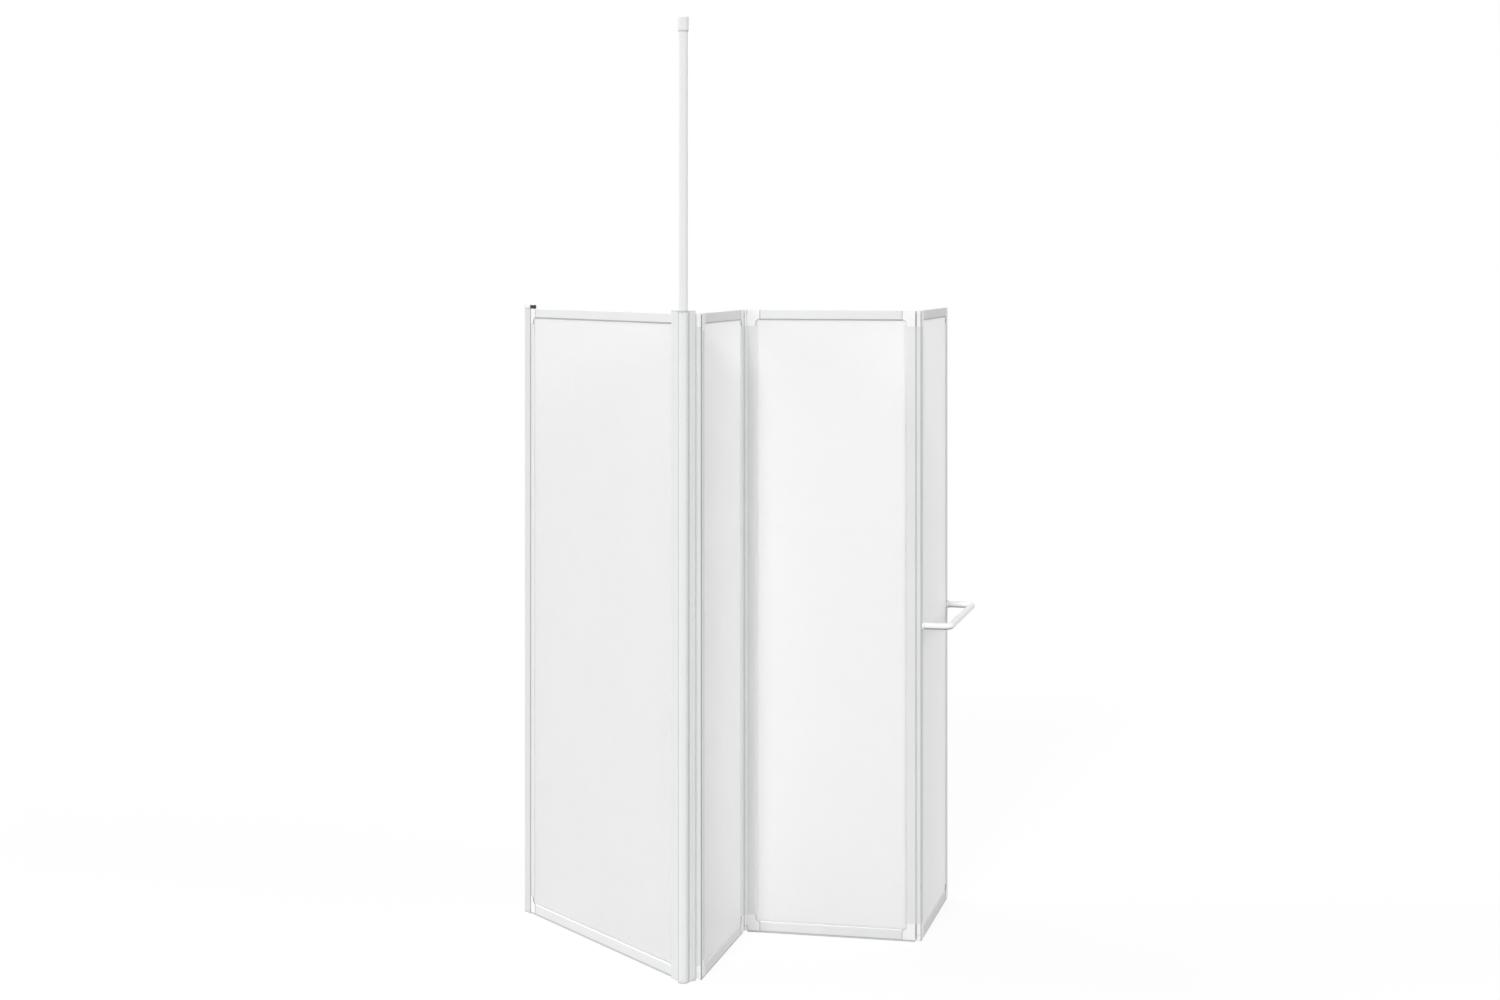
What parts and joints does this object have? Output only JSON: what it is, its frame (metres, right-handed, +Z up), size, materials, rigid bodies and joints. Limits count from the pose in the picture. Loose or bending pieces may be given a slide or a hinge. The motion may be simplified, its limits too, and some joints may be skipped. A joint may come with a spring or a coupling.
{
  "type": "folding bath screen",
  "caption": "Folding bath screen with a fixed side panel, a corner post and ceiling pole, hinged panels that fold in a zigzag and a towel rail.",
  "frame": {"origin": "on the ceiling pole's axis, on the rim of the bathtub", "axes": "+Z up, +X along the tub's long side, +Y along its short side towards the wall"},
  "size_m": [0.9295, 0.7451, 2.009],
  "materials": {
    "panel_profile": "white powder coat, satin",
    "corner_plastic": "white moulded plastic",
    "sheet": "opal sheet with a fine grain",
    "bead": "pale grey glazing bead",
    "seal": "pale grey soft lip",
    "wall_profile": "white powder coat, satin",
    "post_profile": "white powder coat, satin",
    "post_plastic": "white moulded plastic",
    "pole_profile": "white powder coat, satin",
    "pole_cap_plastic": "white moulded plastic",
    "foot_rubber": "pale grey rubber",
    "black_rubber": "black, dull",
    "towel_bar": "white lacquer, glossy",
    "steel": "plain"
  },
  "bodies": {
    "fixed": {"wall_profile": "wall_profile", "wall_cap": "corner_plastic", "wall_cap_stop": "black_rubber", "panel_a_rail_bottom": "panel_profile", "panel_a_rail_top": "panel_profile", "panel_a_stile_left": "panel_profile", "panel_a_stile_right": "panel_profile", "panel_a_corner_left_bottom": "corner_plastic", "panel_a_corner_left_top": "corner_plastic", "panel_a_corner_right_bottom": "corner_plastic", "panel_a_corner_right_top": "corner_plastic", "panel_a_sheet": "sheet", "panel_a_beads": "bead", "panel_a_seal": "seal", "corner_post": "post_profile", "post_cap_bottom": "post_plastic", "post_cap_top": "post_plastic", "post_bushes": "corner_plastic"},
    "panel_b": {"panel_b_rail_bottom": "panel_profile", "panel_b_rail_top": "panel_profile", "panel_b_stile_left": "panel_profile", "panel_b_stile_right": "panel_profile", "panel_b_corner_left_bottom": "corner_plastic", "panel_b_corner_left_top": "corner_plastic", "panel_b_corner_right_bottom": "corner_plastic", "panel_b_corner_right_top": "corner_plastic", "panel_b_sheet": "sheet", "panel_b_beads": "bead", "panel_b_seal": "seal", "hinge_pins_post": "steel"},
    "panel_c": {"panel_c_rail_bottom": "panel_profile", "panel_c_rail_top": "panel_profile", "panel_c_stile_left": "panel_profile", "panel_c_stile_right": "panel_profile", "panel_c_corner_left_bottom": "corner_plastic", "panel_c_corner_left_top": "corner_plastic", "panel_c_corner_right_bottom": "corner_plastic", "panel_c_corner_right_top": "corner_plastic", "panel_c_sheet": "sheet", "panel_c_beads": "bead", "panel_c_seal": "seal", "hinge_pins_bc": "steel"},
    "panel_d": {"panel_d_rail_bottom": "panel_profile", "panel_d_rail_top": "panel_profile", "panel_d_stile_left": "panel_profile", "panel_d_stile_right": "panel_profile", "panel_d_corner_left_bottom": "corner_plastic", "panel_d_corner_left_top": "corner_plastic", "panel_d_corner_right_bottom": "corner_plastic", "panel_d_corner_right_top": "corner_plastic", "panel_d_sheet": "sheet", "panel_d_beads": "bead", "panel_d_seal": "seal", "hinge_pins_cd": "steel", "towel_bar": "towel_bar", "towel_bar_feet": "corner_plastic", "towel_bar_screws": "steel"},
    "pole": {"pole_tube": "pole_profile", "pole_foot": "foot_rubber", "pole_cap": "pole_cap_plastic"}
  },
  "joints": [
    {"name": "post_fold", "type": "hinge", "parent": "fixed", "child": "panel_b", "pos_m": [0.0345, -0.0055, 0], "axis": [0, 0, 1], "range_deg": [-43.3, 28.3]},
    {"name": "bc_fold", "type": "hinge", "parent": "panel_b", "child": "panel_c", "pos_m": [0.32283, 0.26104, 0], "axis": [0, 0, 1], "range_deg": [-78, 90]},
    {"name": "cd_fold", "type": "hinge", "parent": "panel_c", "child": "panel_d", "pos_m": [0.59877, -0.0183, 0], "axis": [0, 0, 1], "range_deg": [-90, 78]},
    {"name": "pole_slide", "type": "slide", "parent": "fixed", "child": "pole", "axis": [0, 0, 1], "range_m": [0, 0.35]}
  ]
}
